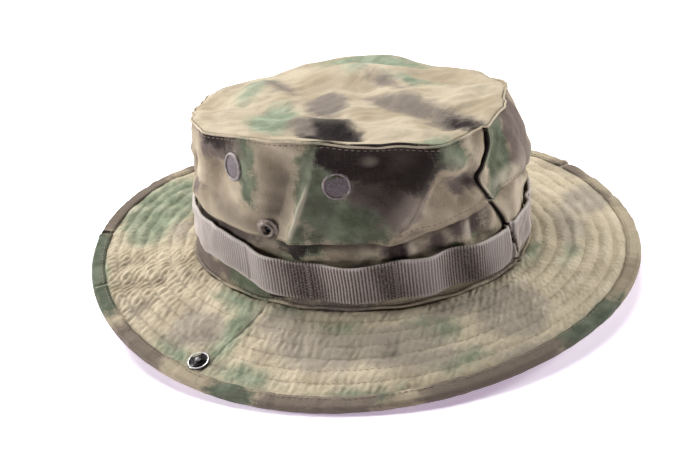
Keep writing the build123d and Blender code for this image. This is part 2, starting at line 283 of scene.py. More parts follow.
def tip_point(angle, share):
    """Points on the tip: share is 0 at its middle and 1 at its seam."""
    angle, share = np.broadcast_arrays(np.asarray(angle, float), np.asarray(share, float))
    rim = crown_point(angle, tip_seam(angle), 0.3)
    middle = np.array(TIP_MIDDLE)
    flat = middle[:2] + share[..., None] * (rim[..., :2] - middle[:2])
    level = middle[2] + (rim[..., 2] - middle[2]) * share**2.4
    free = 1 - share**8
    level = level + folds(flat[..., 0], flat[..., 1], TIP_FOLDS) * free
    level = level + (0.8 * ripples(flat, 34, 21) + 0.3 * ripples(flat, 12, 22)) * free
    level = level + 1.2 * bump(share, 0.95, 0.05)
    return np.concatenate([flat, level[..., None]], -1)


# ---- brim ----
def edge_height(angle):
    """Height of the brim's edge above the crown seam."""
    t = np.radians(angle)
    wave = -4.1 - 11.9 * np.cos(t) - 10.1 * np.sin(t)
    wave -= 2.0 * np.cos(2 * t) + 1.6 * np.cos(3 * t) + 1.0 * np.sin(3 * t)
    return wave - 31.0 * bump(wrap(np.asarray(angle) - 210), 0, 30.0)


def brim_middle(angle, share):
    """Points on the brim's middle layer. share is 0 at the crown and 1 at the edge."""
    angle, share = np.broadcast_arrays(np.asarray(angle, float), np.asarray(share, float))
    t = np.radians(angle)
    x = (HALF_WIDTH + share * (BRIM_HALF_WIDTH - HALF_WIDTH)) * np.cos(t)
    y = (HALF_LENGTH + share * (BRIM_HALF_LENGTH - HALF_LENGTH)) * np.sin(t)
    inward = ring_push(angle) * (1 - share) ** 2
    return np.stack([x + inward * np.cos(t), y + inward * np.sin(t), share * edge_height(angle)], -1)


def brim_normal(angle, share):
    """Upward unit normals of the brim's middle layer."""
    across = brim_middle(angle, share + 0.02) - brim_middle(angle, share - 0.02)
    along = brim_middle(angle + 0.5, share) - brim_middle(angle - 0.5, share)
    return unit(np.cross(across, along))


def edge_frame(angle):
    """The brim's edge, its upward normals, and unit vectors from it towards the crown."""
    edge = brim_middle(angle, np.ones(angle.shape))
    inward = unit(brim_middle(angle, np.full(angle.shape, 0.9)) - edge)
    return edge, brim_normal(angle, np.full(angle.shape, 0.97)), inward


# heights in mm, by angle, of the cloth between two rows and of the creases across them
PUCKER_LENGTH = 4.6
row_puff = around([
    (0, 0.55), (30, 0.5), (60, 0.8), (90, 1.4), (120, 1.6), (150, 1.3), (180, 0.9), (220, 1.0), (260, 1.1),
    (285, 1.2), (305, 0.8), (320, 0.6), (335, 0.6), (350, 0.35),
])
pucker = around([
    (0, 0.08), (20, 0.18), (45, 0.25), (68, 0.4), (90, 0.2), (120, 0.15), (160, 0.3), (200, 0.5),
    (250, 0.3), (280, 0.08), (298, 0.10), (308, 0.6), (316, 0.95), (326, 0.85), (333, 0.35), (342, 0.08),
])


def seam_turn(share):
    """Angle of the left side seam of the brim, which drifts forwards towards the edge."""
    return -4.5 * share


def side_seams(angle, share):
    """Groove at the brim's two side seams, with a low ridge beside it."""
    off = np.minimum(np.abs(wrap(angle - seam_turn(share))), np.abs(wrap(angle - 180))) * 2.1
    return 0.2 * bump(off, 3, 1.0) - 0.7 * bump(off, 0, 0.7)


def quilting(angle, share, side=1):
    """Height of the brim's cloth between its rows of stitching, and how deep in a row a point is."""
    row = share * STITCH_ROWS
    between = np.sqrt(np.sin(pi * row) ** 2 + 0.01)
    plan = brim_middle(angle, share)[..., :2]
    ring = np.radians(angle) * (CROWN_RADIUS + BRIM_WIDTH * share)
    slip = 2.4 * np.sin(2.1 * np.floor(row) + side)
    wander = 2.2 * ripples(plan, 26, 31)
    crease = np.sin(2 * pi * ring / PUCKER_LENGTH + slip + wander) * (0.65 + 0.35 * ripples(plan, 9, 34))
    snap_angle, snap_share = SNAP_ON_BRIM
    flat_spot = 1 - 0.75 * bump(wrap(angle - snap_angle + 2), 0, 11) * bump(share, snap_share, 0.5)
    puff = row_puff(angle) * between**0.7
    height = (puff + pucker(angle) * crease * between**0.6) * flat_spot
    height += 0.5 * ripples(plan, 22, 32) + 0.16 * ripples(plan, 5, 33 + side)
    height += side_seams(angle, share)
    return height * (1 - ramp(share, 0.85, 0.88)), 1 - between


# ---- turning grids of points into closed meshes ----
def grid_normals(points):
    """Unit normals of a grid of points [rows, columns, 3]."""
    return unit(np.cross(np.gradient(points, axis=1), np.gradient(points, axis=0)))


def quads(rows, columns, closed=False):
    """Corner numbers of the faces of a grid, rows apart along the first axis."""
    last = columns if closed else columns - 1
    r, c = np.meshgrid(np.arange(rows - 1), np.arange(last), indexing="ij")
    here, beside = r * columns + c, r * columns + (c + 1) % columns
    return np.stack([here, beside, beside + columns, here + columns], -1).reshape(-1, 4)


def new_mesh(name, points, faces, material):
    """Smooth mesh object from millimetre points above the crown seam."""
    placed = (np.reshape(points, (-1, 3)) + (0, 0, SEAM_Z)) * MM
    mesh = bpy.data.meshes.new(name)
    mesh.from_pydata(placed.tolist(), [], [list(face) for face in faces])
    mesh.polygons.foreach_set("use_smooth", np.full(len(mesh.polygons), True))
    mesh.materials.append(material)
    piece = bpy.data.objects.new(name, mesh)
    bpy.context.scene.collection.objects.link(piece)
    return piece


def set_uv(mesh, per_point):
    """Cloth coordinates in millimetres, one pair per point."""
    layer = mesh.uv_layers.new(name="cloth")
    corners = np.zeros(len(mesh.loops), int)
    mesh.loops.foreach_get("vertex_index", corners)
    layer.data.foreach_set("uv", per_point[corners].astype(np.float32).reshape(-1))


def set_fields(mesh, fields, copies=1):
    """Values per point that the materials read by name."""
    for name, values in fields.items():
        layer = mesh.attributes.new(name, "FLOAT", "POINT")
        layer.data.foreach_set("value", np.tile(np.asarray(values, np.float32).reshape(-1), copies))


def shell(name, outer, inner, material, closed=False, uv=None, fields=None):
    """Closed solid between two grids of points of the same size, with its cloth coordinates and fields."""
    rows, columns = outer.shape[:2]
    count = rows * columns
    front = quads(rows, columns, closed)
    numbers = np.arange(count).reshape(rows, columns)
    edges = [numbers[0], numbers[-1][::-1]]
    if closed:
        edges = [np.append(edge, edge[0]) for edge in edges]
    else:
        edges += [numbers[:, -1], numbers[::-1, 0]]
    rims = [np.stack([edge[1:], edge[:-1], edge[:-1] + count, edge[1:] + count], -1) for edge in edges]
    faces = np.concatenate([front, front[:, ::-1] + count, *rims])
    piece = new_mesh(name, np.concatenate([outer.reshape(-1, 3), inner.reshape(-1, 3)]), faces, material)
    if uv is not None:
        set_uv(piece.data, np.tile(uv.reshape(-1, 2), (2, 1)))
    set_fields(piece.data, fields or {}, copies=2)
    return piece


def cloth_solid(name, points, material, thickness, uv=None, fields=None, closed=False):
    """Cloth of a given thickness whose outer face is the grid."""
    padded = np.concatenate([points[:, -1:], points, points[:, :1]], 1) if closed else points
    normal = grid_normals(padded)
    if closed:
        normal = normal[:, 1:-1]
    return shell(name, points, points - normal * thickness, material, closed, uv, fields)


def settle(piece, body, slot, *replaced):
    """Which body the piece rides and which plain solids it stands for; slot is not used."""
    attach(piece, body)
    if replaced:
        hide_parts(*replaced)


# ---- camouflage: soft blobs whose edges the material roughens ----
def blob_depth(u, v, length, width, turn):
    """Depth inside one oval blob in mm, below 0 outside it."""
    c, s = cos(radians(turn)), sin(radians(turn))
    return (1 - np.hypot((u * c + v * s) / length, (-u * s + v * c) / width)) * width


def deepest(u, v, blobs, offset):
    """Depth in mm inside the nearest blob: offset gives a point's place beside a blob's middle, in mm."""
    field = np.full(np.broadcast(u, v).shape, -30.0)
    for at_u, at_v, *shape in blobs:
        field = np.maximum(field, blob_depth(*offset(at_u, at_v), *shape))
    return field


def flat_stain(points, blobs):
    """Camouflage field on the tip, seen from above."""
    x, y = points[..., 0], points[..., 1]
    return deepest(x, y, blobs, lambda at_x, at_y: (x - at_x, y - at_y))


def wall_stain(angle, height, blobs):
    """Camouflage field on the crown's wall, unrolled."""
    return deepest(angle, height, blobs, lambda turn, level: (arc_length(wrap(angle - turn)), height - level))


def brim_stain(angle, share, blobs):
    """Camouflage field on the brim, in true millimetres at each radius."""
    scale = radians(1) * (CROWN_RADIUS + BRIM_WIDTH * share)

    def offset(turn, at):
        return wrap(angle - turn) * scale, (share - at) * BRIM_WIDTH

    return deepest(angle, share, blobs, offset)


def print_fields(stain, blobs, wear_and_painted_light):
    """What the camouflage material reads: the depth inside each printed colour, and its wear and painted
    light and shade.
    """
    fields = {colour: stain(shapes) for colour, shapes in zip(("green", "umber", "dark"), blobs)}
    return {**fields, "wear_and_painted_light": wear_and_painted_light}


def scattered(seed, count, u_range, v_range, size, lean=50):
    """Seeded blobs for the parts of the hat whose pattern is free."""
    rng = np.random.default_rng(seed)
    blobs = []
    for _ in range(count):
        length = size * rng.uniform(0.8, 1.6)
        place = rng.uniform(*u_range), rng.uniform(*v_range)
        blobs.append((*place, length, length * rng.uniform(0.3, 0.6), rng.uniform(-lean, lean)))
    return blobs


def free_brim_blobs(seed, count, size, angles=(165, 262)):
    """Seeded blobs over the brim's width."""
    return scattered(seed, count, angles, (0.1, 0.9), size, 30)


# each blob: angle, height, half length, half width, turn
# on the brim the height is a share of its width, and the tip's blobs are placed by x and y
WALL_GREEN = [
    (-3, 79, 20, 7, 95), (21, 68, 27, 12, 88), (31, 51, 24, 13, 0), (64, 79, 13, 8, -20),
    (14, 46, 9, 4, 60), *scattered(51, 9, (112, 300), (35, 90), 20),
]
# the umber blob at 68, 61 is painted shade under the fold that hangs there
WALL_UMBER = [
    (-17, 86, 19, 10, -5), (47, 61, 20, 10, 50), (40, 66, 16, 11, 0), (40, 84, 28, 9, 0),
    (-30, 58, 8, 4, 0), (68, 61, 12, 4, -15), *scattered(52, 8, (125, 300), (30, 92), 16),
]
WALL_DARK = [
    (42, 80, 28, 13, 0), (50, 72, 15, 9, 20), (27, 86, 10, 8, 0), (-18, 87, 12, 5, -5),
    *scattered(53, 6, (130, 300), (40, 92), 11),
]
# the print breaks at the centre-back seam: these patches are on the right panel only
BACK_GREEN = [(86, 72, 24, 13, 88), (82, 54, 12, 9, 60)]
BACK_UMBER = [(106, 71, 30, 22, 95)]
WALL_PRINT = {
    "left": (WALL_GREEN, WALL_UMBER, WALL_DARK),
    "right": (WALL_GREEN + BACK_GREEN, WALL_UMBER + BACK_UMBER, WALL_DARK),
}
# in the band's print, the umber blobs at 43 and 56 and the dark blob at 43 are painted shade in its folds
BAND_PRINT = (
    [(12, 37, 13, 7, 0), (-10, 8, 22, 7, -10), *scattered(54, 5, (110, 320), (0, 40), 15)],
    [
        (-14, 42, 20, 6, -14), (-26, 36, 34, 9, -10), (-40, 8, 34, 9, 0), (84, 5, 20, 5, 0),
        (43, 34, 8, 7, 0), (68, 39, 13, 6, 0), (22, 4, 24, 5, 0), (56, 34, 6, 5, 0),
    ],
    [(11, 36, 10, 6, 15), (3, 8, 8, 4, 0), (43, 33, 4, 5, 90)],
)
# the tip's dark blobs at 48, 28 and 61, 28 lie in its deepest dent: print and painted shadow
TIP_PRINT = (
    [
        (42, -16, 28, 13, 33), (-66, -22, 34, 9, 100), (-50, -19, 15, 9, 0), (-41, 22, 15, 5, 80),
        (40, 83, 8, 4, 140), *scattered(61, 2, (-40, 0), (-80, -60), 12),
    ],
    [
        (10, -3, 19, 12, 35), (-3, 40, 26, 9, 78), (8, 76, 22, 9, 66), (-33, 8, 13, 5, 70),
        (-11, -52, 15, 5, 60), (48, 22, 30, 16, 55),
    ],
    [(48, 28, 23, 11, 50), (61, 28, 15, 8, 75), (12, 84, 16, 5, 62)],
)
BRIM_GREEN = [
    (-82, 0.56, 50, 20, 0), (-46, 0.95, 26, 6, 0), (-4, 0.36, 25, 7, 85), (-10, 0.1, 14, 5, 0),
    (-12, 0.79, 14, 5, 0), (5, 0.78, 15, 6, 0), (7, 0.08, 9, 5, 0), (23, 0.22, 11, 4, 0),
    (48, 0.3, 15, 10, 0), (51, 0.7, 13, 5, 0), (105, 0.38, 11, 4, 0), (98, 0.06, 14, 4, 0),
    (84, 0.98, 20, 6, 0), (30, 0.9, 16, 5, 0), *free_brim_blobs(71, 7, 22),
]
BRIM_UMBER = [
    (-13, 0.52, 15, 12, 0), (7, 0.2, 13, 8, 0), (19, 0.42, 24, 13, 10), (38, 0.42, 24, 13, 5),
    (45, 0.6, 16, 7, 0), (70, 0.4, 21, 19, 0), (62, 0.15, 24, 6, 0), (121, 0.38, 23, 7, 0),
    (135, 0.68, 20, 13, 30), (151, 0.9, 14, 5, 0), (-68, 0.2, 12, 5, 0), (64, 0.85, 14, 4, 0),
    *free_brim_blobs(72, 7, 20),
]
BRIM_PRINT = {
    "upper": (BRIM_GREEN, BRIM_UMBER, free_brim_blobs(73, 4, 10)),
    "lower": (
        free_brim_blobs(74, 22, 24, (0, 360)), free_brim_blobs(75, 22, 22, (0, 360)),
        free_brim_blobs(76, 12, 11, (0, 360)),
    ),
}
JOIN_AT = -66
BINDING_PRINT = (
    BRIM_GREEN + [(-50, 1, 44, 20, 0), (80, 1, 26, 20, 0), (5, 1, 14, 10, 0), (220, 1, 30, 20, 0)],
    BRIM_UMBER + [
        (-82, 1, 40, 20, 0), (56, 1, 40, 20, 0), (22, 1, 30, 20, 0), (-20, 1, 22, 20, 0), (190, 1, 26, 20, 0),
        (250, 1, 20, 20, 0),
    ],
    [(JOIN_AT - 0.5, 1, 1.3, 10, 0)],
)
BINDING_JOINS = (JOIN_AT, -44, 154)


# ---- materials ----
class Nodes:
    """Short way to add and join shader nodes."""

    def __init__(self, name):
        self.material = bpy.data.materials.new(name)
        self.material.use_nodes = True
        self.tree = self.material.node_tree
        self.shader = self.tree.nodes["Principled BSDF"]

    def add(self, kind, inputs=None, **settings):
        node = self.tree.nodes.new("ShaderNode" + kind)
        for key, value in settings.items():
            setattr(node, key, value)
        for key, value in (inputs or {}).items():
            self.put(node.inputs[key], value)
        return node

    def put(self, socket, value):
        if isinstance(value, bpy.types.NodeSocket):
            self.tree.links.new(value, socket)
        else:
            socket.default_value = value

    def math(self, operation, a, b):
        node = self.add("Math", operation=operation)
        self.put(node.inputs[0], a)
        self.put(node.inputs[1], b)
        return node.outputs[0]

    def field(self, name):
        return self.add("Attribute", attribute_name=name).outputs["Fac"]

    def cloth(self, across=1.0, along=1.0):
        """Cloth coordinates in mm, stretched."""
        place = self.add("UVMap", uv_map="cloth").outputs[0]
        return self.add("Mapping", {"Vector": place, "Scale": (across, along, 1)}).outputs[0]

    def noise(self, vector, scale, detail, rough=0.5):
        inputs = {"Vector": vector, "Scale": scale, "Detail": detail, "Roughness": rough}
        return self.add("TexNoise", inputs).outputs["Fac"]

    def range(self, value, low, high, to_low=0.0, to_high=1.0, smooth=True):
        kind = "SMOOTHSTEP" if smooth else "LINEAR"
        inputs = {"Value": value, "From Min": low, "From Max": high, "To Min": to_low, "To Max": to_high}
        return self.add("MapRange", inputs, interpolation_type=kind).outputs[0]

    def mix(self, share, a, b, blend="MIX"):
        node = self.add("Mix", data_type="RGBA", blend_type=blend)
        self.put(node.inputs[0], share)
        self.put(node.inputs[6], a)
        self.put(node.inputs[7], b)
        return node.outputs[2]

    def finish(self, colour, rough, height=None, distance=0.0):
        self.put(self.shader.inputs["Base Color"], colour)
        self.put(self.shader.inputs["Roughness"], rough)
        if height is not None:
            bumps = self.add("Bump", {"Height": height, "Distance": distance, "Strength": 1.0})
            self.put(self.shader.inputs["Normal"], bumps.outputs[0])
        return self.material


DARK = (0.02, 0.014, 0.013, 1)
# how far the field of wear and painted light goes towards each: from, to, most, colour; the pale step is wear
# and painted highlight, the dark step mostly painted shade, the near-black step painted shadow in seam
# grooves
CLOTH_WEAR_AND_LIGHT = (
    (0.1, 1.0, 0.45, (0.62, 0.55, 0.43, 1)), (-0.1, -1.0, 0.55, (0.07, 0.055, 0.045, 1)),
    (-1.0, -2.0, 0.95, (0.012, 0.009, 0.008, 1)),
)


def recolour_by_steps(n, field, steps, colour):
    """Colour changed by a field, one step after another."""
    for start, end, most, paint in steps:
        colour = n.mix(n.range(field, start, end, 0.0, most), colour, paint)
    return colour


def threads_of(n, place, direction):
    """Height of the threads that run one way."""
    inputs = {"Vector": place, "Scale": 0.55, "Distortion": 0.6, "Detail": 1.0}
    return n.math("MULTIPLY", n.add("TexWave", inputs, bands_direction=direction).outputs["Fac"], 0.35)


def camouflage(name, base, greens, umber, dark=DARK, worn=1.0, soft=2.4):
    """Printed ripstop cotton: four colours with roughened edges, slubby threads, and wear and painted light:
    paler on ridges and lit parts, painted shade in hollows.

    One printed colour turns into the next over `soft` mm to each side.
    """
    n = Nodes(name)
    place = n.cloth()
    wobble = n.math("MULTIPLY", n.math("SUBTRACT", n.noise(place, 0.11, 5, 0.6), 0.5), 14.0)
    for streak in (n.noise(n.cloth(0.14, 1.3), 1.0, 2), n.noise(n.cloth(1.3, 0.14), 1.0, 2)):
        wobble = n.math("ADD", wobble, n.math("MULTIPLY", n.math("SUBTRACT", streak, 0.5), 3.2))

    def printed(colour, field, paint):
        return n.mix(n.range(n.math("ADD", n.field(field), wobble), -soft, soft), colour, paint)

    colour = n.mix(n.range(n.noise(place, 0.035, 3), 0.38, 0.66), *base)
    colour = printed(colour, "green", n.mix(n.range(n.noise(place, 0.09, 4), 0.4, 0.65), *greens))
    colour = printed(colour, "umber", umber)
    colour = n.mix(n.range(n.noise(place, 0.05, 5, 0.6), 0.5, 0.72, 0.0, 0.3), colour, umber)
    colour = printed(colour, "dark", dark)
    slub_a = n.noise(n.cloth(0.12, 2.2), 1.0, 2)
    slub_b = n.noise(n.cloth(2.2, 0.10), 1.0, 2)
    slub = n.math("MAXIMUM", n.range(slub_a, 0.56, 0.78), n.range(slub_b, 0.56, 0.78))
    pale = n.mix(0.22, colour, (0.42, 0.38, 0.32, 1))
    colour = n.mix(n.math("MULTIPLY", slub, 0.45 * worn), colour, pale)
    speck = n.range(n.noise(place, 2.6, 1), 0.3, 0.7, 0.80, 1.20, smooth=False)
    colour = n.mix(1.0, colour, n.add("CombineColor", {0: speck, 1: speck, 2: speck}).outputs[0], "MULTIPLY")
    # wear and painted light: paler for rubbed and lit parts, painted shade and painted shadow below 0
    colour = recolour_by_steps(n, n.field("wear_and_painted_light"), CLOTH_WEAR_AND_LIGHT, colour)
    height = n.math("ADD", threads_of(n, place, "X"), threads_of(n, place, "Y"))
    height = n.math("ADD", height, n.math("MULTIPLY", n.noise(place, 0.16, 5, 0.62), 5.0))
    height = n.math("ADD", height, n.math("MULTIPLY", slub, 0.5))
    n.shader.inputs["Specular IOR Level"].default_value = 0.15
    return n.finish(colour, n.range(n.noise(place, 0.7, 2), 0.3, 0.7, 0.82, 0.95), height, 0.00022)


def plain_cloth(name, light, deep):
    """Undyed or single-colour woven cloth."""
    n = Nodes(name)
    place = n.cloth()
    colour = n.mix(n.noise(place, 0.08, 4), light, deep)
    thread = n.noise(n.cloth(2.0, 2.0), 1.0, 2)
    colour = n.mix(n.range(thread, 0.35, 0.75, 0.0, 0.4), colour, deep)
    twill = n.add("TexWave", {"Vector": place, "Scale": 0.5, "Distortion": 0.3}, bands_direction="DIAGONAL")
    height = n.math("ADD", twill.outputs["Fac"], n.math("MULTIPLY", n.noise(place, 0.2, 4), 3.0))
    return n.finish(colour, 0.9, height, 0.0001)


def webbing_cloth(name):
    """Grosgrain webbing: ribs of the mesh, with painted highlight on the rib tops, painted shade in the
    valleys, painted light and shade along its length and painted shadow in the back seam.
    """
    n = Nodes(name)
    place = n.cloth()
    rib = n.field("wear_and_painted_light")
    base = n.mix(n.noise(place, 0.09, 4), (0.33, 0.275, 0.24, 1), (0.44, 0.38, 0.335, 1))
    # dark rib valleys and pale rib tops: painted shade and painted highlight on the ribs
    colour = n.mix(n.range(rib, -1.0, 1.0, 0.0, 1.0, smooth=False), (0.05, 0.036, 0.03, 1), base)
    painted_web_light = n.field("painted_web_light")
    # painted shade where the webbing turns from the light, painted highlight where it faces it
    painted_light_steps = ((0.1, -1.0, 0.80, (0.04, 0.026, 0.02, 1)), (0.1, 1.0, 0.55, (0.60, 0.55, 0.51, 1)))
    colour = recolour_by_steps(n, painted_web_light, painted_light_steps, colour)
    weft = n.noise(n.cloth(0.8, 2.6), 1.0, 2)
    colour = n.mix(n.range(weft, 0.5, 0.72, 0.0, 0.5), colour, (0.50, 0.45, 0.41, 1))
    # near black in the back seam's groove: painted shadow
    colour = n.mix(n.range(painted_web_light, -1.3, -2.2, 0.0, 0.97), colour, (0.012, 0.008, 0.007, 1))
    height = n.math("ADD", weft, n.noise(place, 1.8, 2))
    n.shader.inputs["Specular IOR Level"].default_value = 0.15
    return n.finish(colour, 0.88, height, 0.00015)


def metal(name, colour, worn, rough, metallic=1.0, scale=500.0):
    """Small stamped metal part with rubbed and dull patches."""
    n = Nodes(name)
    place = n.add("TexCoord").outputs["Object"]
    patch = n.noise(place, scale, 4, 0.6)
    n.shader.inputs["Metallic"].default_value = metallic
    mixed = n.mix(n.range(patch, 0.42, 0.66), colour, worn)
    height = n.noise(place, scale * 4, 3)
    return n.finish(mixed, n.range(patch, 0.3, 0.7, rough, rough + 0.2), height, 0.00004)


def thread_cloth(name, colour, deep):
    """Sewing thread with a little unevenness."""
    n = Nodes(name)
    place = n.add("TexCoord").outputs["Object"]
    mixed = n.mix(n.noise(place, 900, 3), colour, deep)
    return n.finish(mixed, 0.8, n.noise(place, 4000, 2), 0.00003)


# The four camouflage materials are copies of one printed cloth, made lighter or darker by how lit each part
# is: the wall and binding copies darker, painted shade; the brim's umber lighter, painted light; the tip's
# dark print darker still, partly painted shadow in its dents.
crown_cloth = camouflage(
    "crown_camouflage", ((0.39, 0.33, 0.24, 1), (0.27, 0.22, 0.15, 1)),
    ((0.085, 0.10, 0.062, 1), (0.15, 0.17, 0.115, 1)), (0.135, 0.105, 0.09, 1),
)
tip_cloth = camouflage(
    "tip_camouflage", ((0.44, 0.375, 0.275, 1), (0.33, 0.27, 0.185, 1)),
    ((0.18, 0.215, 0.145, 1), (0.27, 0.31, 0.22, 1)), (0.185, 0.155, 0.13, 1),
    dark=(0.014, 0.01, 0.01, 1), soft=4.2,
)
brim_cloth = camouflage(
    "brim_camouflage", ((0.48, 0.41, 0.295, 1), (0.37, 0.31, 0.215, 1)),
    ((0.175, 0.205, 0.135, 1), (0.26, 0.285, 0.195, 1)), (0.30, 0.26, 0.205, 1), worn=0.8, soft=4.5,
)
binding_cloth = camouflage(
    "binding_camouflage", ((0.36, 0.305, 0.215, 1), (0.26, 0.215, 0.15, 1)),
    ((0.075, 0.088, 0.06, 1), (0.125, 0.14, 0.10, 1)), (0.15, 0.12, 0.095, 1), worn=0.6,
)
web_cloth = webbing_cloth("webbing_grosgrain")
sweat_cloth = plain_cloth("sweatband_twill", (0.24, 0.25, 0.16, 1), (0.17, 0.17, 0.11, 1))
tape_cloth = plain_cloth("seam_tape", (0.30, 0.27, 0.19, 1), (0.20, 0.18, 0.13, 1))
brim_thread = thread_cloth("brim_thread", (0.30, 0.25, 0.175, 1), (0.22, 0.18, 0.13, 1))
thread = thread_cloth("thread", (0.26, 0.215, 0.155, 1), (0.17, 0.14, 0.10, 1))
dark_thread = thread_cloth("webbing_thread", (0.30, 0.25, 0.21, 1), (0.16, 0.13, 0.11, 1))
vent_metal = metal("vent_enamel", (0.15, 0.125, 0.12, 1), (0.30, 0.26, 0.245, 1), 0.42, 0.35)
vent_mesh = metal("vent_mesh", (0.075, 0.057, 0.062, 1), (0.17, 0.14, 0.145, 1), 0.5, 0.3, scale=1500.0)
bronze = metal("snap_bronze", (0.13, 0.105, 0.09, 1), (0.24, 0.20, 0.165, 1), 0.42, 0.7)
nickel = metal("snap_nickel", (0.36, 0.35, 0.345, 1), (0.22, 0.21, 0.205, 1), 0.34)
black_metal = metal("snap_black", (0.012, 0.011, 0.012, 1), (0.05, 0.045, 0.045, 1), 0.22, 0.5)


# ---- crown pieces ----
# along the wall in mm, height, half length, half width, turn, how pale (above 0) or dark (below 0): painted
# highlight on folds that face the light, painted shade in hollows
PANEL_PAINTED_LIGHT = [
    (10, 66, 26, 15, 90, -0.75), (-16, 49, 26, 7, -10, -0.9), (-43, 68, 12, 8, 0, 0.6),
    (25, 58, 18, 1.6, 68, 1.2), (64, 79, 11, 7, -20, 1.3), (66, 62, 12, 5, -15, -0.5),
    (-16, 84, 10, 6, 0, -0.3), (146, 54, 14, 6, 0, 0.9),
]


def wall_fields(angle, height, wear_and_painted_light, blobs):
    """Camouflage, wear and painted light and shade on the crown's wall."""
    return print_fields(lambda shapes: wall_stain(angle, height, shapes), blobs, wear_and_painted_light)


def seam_painted_shading(angle, height):
    """The centre-back seam: painted shadow in the groove, painted highlight along the edge that stands up
    beside it.
    """
    off = arc_length(wrap(angle - back_seam(height)))
    return 0.8 * bump(off, 1.6, 0.7) - 4.5 * bump(off, 0.0, 0.5)


def wall_grid(side, columns, rows, middle, reach):
    """Grid between the two upright seams: reach gives the lowest height and the rise at an angle."""
    if side == "left":
        turns = front_seam, back_seam
    else:
        turns = back_seam, lambda level: front_seam(level) + 360
    across, up = np.meshgrid(np.linspace(0, 1, columns), np.linspace(0, 1, rows))
    start, end = (turn(middle) for turn in turns)
    low, rise = reach(start + across * (end - start))
    height = low + up * rise
    start, end = (turn(height) for turn in turns)
    return start + across * (end - start), height, up


def crown_panel(side):
    """Upper side panel: it overhangs the lower band and ends under the tip."""
    angle, height, up = wall_grid(
        side, 440, 60, 60, lambda turn: (low_seam(turn) - 1.0, tip_seam(turn) + 1.0 - low_seam(turn))
    )
    lift = 1.1 + 0.9 * bump(up, 0.0, 0.06) - 0.3 * bump(up, 1.0, 0.03)
    # paler where the cloth bulges out and darker in hollows, darker along the overhanging lower edge and
    # paler just above it: painted light and shade
    wear_and_painted_light = 0.10 * (push_out(angle, height) - 1.5) - 0.55 * bump(up, 0, 0.015) + 0.35 * bump(up, 0.035, 0.012)
    wear_and_painted_light += folds(arc_length(wrap(angle)), height, PANEL_PAINTED_LIGHT) + seam_painted_shading(angle, height)
    fields = wall_fields(angle, height, wear_and_painted_light, WALL_PRINT[side])
    uv = np.stack([arc_length(angle), height], -1)
    points = crown_point(angle, height, lift)
    piece = cloth_solid(f"crown_panel_{side}", points, crown_cloth, 1.0, uv, fields)
    settle(piece, "crown", "crown_cloth", f"crown_side_{side}")


def crown_band(side):
    """Lower band: from inside the brim's seam to under the upper panel."""
    angle, height, _ = wall_grid(side, 260, 48, 20, lambda turn: (-1.2, low_seam(turn) + 1.6))
    # paler where the band bulges out, darker in its hollows and just under the upper panel's overhang:
    # painted light and painted shadow
    wear_and_painted_light = 0.12 * (push_out(angle, height, True) - 1.0) - 0.7 * bump(height, low_seam(angle), 4.5)
    wear_and_painted_light += folds(arc_length(wrap(angle)), height, BAND_PAINTED_LIGHT) + seam_painted_shading(angle, height)
    fields = wall_fields(angle, height, wear_and_painted_light, BAND_PRINT)
    uv = np.stack([arc_length(angle), height + 300], -1)
    points = crown_point(angle, height, 0.0, band=True)
    piece = cloth_solid(f"crown_lower_band_{side}", points, crown_cloth, 1.0, uv, fields)
    settle(piece, "crown", "crown_cloth", f"crown_band_{side}")


def crown_tip():
    """The tip: one oval of cloth, sagging and dented, with its edge turned down into the seam."""
    angle, share = ring_grid(420, 90, 1.0, 0.004)
    points = tip_point(angle, share)
    level = folds(points[..., 0], points[..., 1], TIP_FOLDS)
    # raised folds of the tip and its rolled edge paler: painted highlight
    wear_and_painted_light = 0.12 * level + 0.3 * bump(share, 0.965, 0.012)
    fields = print_fields(lambda shapes: flat_stain(points, shapes), TIP_PRINT, wear_and_painted_light)
    piece = cloth_solid("crown_tip_cloth", points, tip_cloth, 1.0, points[..., :2] + 700, fields, closed=True)
    settle(piece, "crown", "tip_cloth", "crown_tip")


def welt(name, path, radii, wear_and_painted_light, angle, height, blobs, flatten=1.0):
    """Rounded strip of oval section along a closed path, printed like the cloth beside it."""
    path = np.asarray(path, float)
    ahead = unit(np.roll(path, -1, 0) - np.roll(path, 1, 0))
    side = unit(np.cross(ahead, (0.0, 0.0, 1.0)))
    top = np.cross(side, ahead)
    turn = np.linspace(0, 2 * pi, WELT_SIDES, endpoint=False)[:, None]
    ring = side[:, None] * np.cos(turn) * flatten + top[:, None] * np.sin(turn)
    points = path[:, None] + ring * np.broadcast_to(radii, len(path))[:, None, None]
    faces = quads(len(path) + 1, WELT_SIDES, closed=True)[:, ::-1] % (len(path) * WELT_SIDES)
    piece = new_mesh(name, points, faces, crown_cloth)
    fields = wall_fields(angle, height, np.full(angle.shape, wear_and_painted_light), blobs)
    set_fields(piece.data, {field: np.repeat(values, WELT_SIDES) for field, values in fields.items()})
    set_uv(piece.data, np.repeat(np.stack([arc_length(angle), height], -1), WELT_SIDES, 0))
    return piece


def welts():
    """The folded seam round the tip, and the folded seam where crown meets brim."""
    # both welts get a constant pale step of wear and painted light: painted highlight on the folded edges
    angle = np.linspace(0, 360, 720, endpoint=False)
    height = tip_seam(angle) - 0.2
    path = crown_point(angle, height, 1.25)
    piece = welt("crown_tip_welt", path, 0.6, 0.55, angle, height, (WALL_GREEN, [], []))
    settle(piece, "crown", "crown_cloth", "crown_tip_seam")
    path = crown_point(angle, np.full(angle.shape, 2.9), 0.8)
    path[:, 2] += 0.3 * np.sin(np.radians(angle * 23))
    radii = 0.85 + 0.12 * np.sin(np.radians(angle * 17))
    height = np.full(angle.shape, 2.0)
    piece = welt("crown_base_fold", path, radii, 0.25, angle, height, BAND_PRINT, flatten=1.25)
    settle(piece, "crown", "crown_cloth", "crown_base_welt")


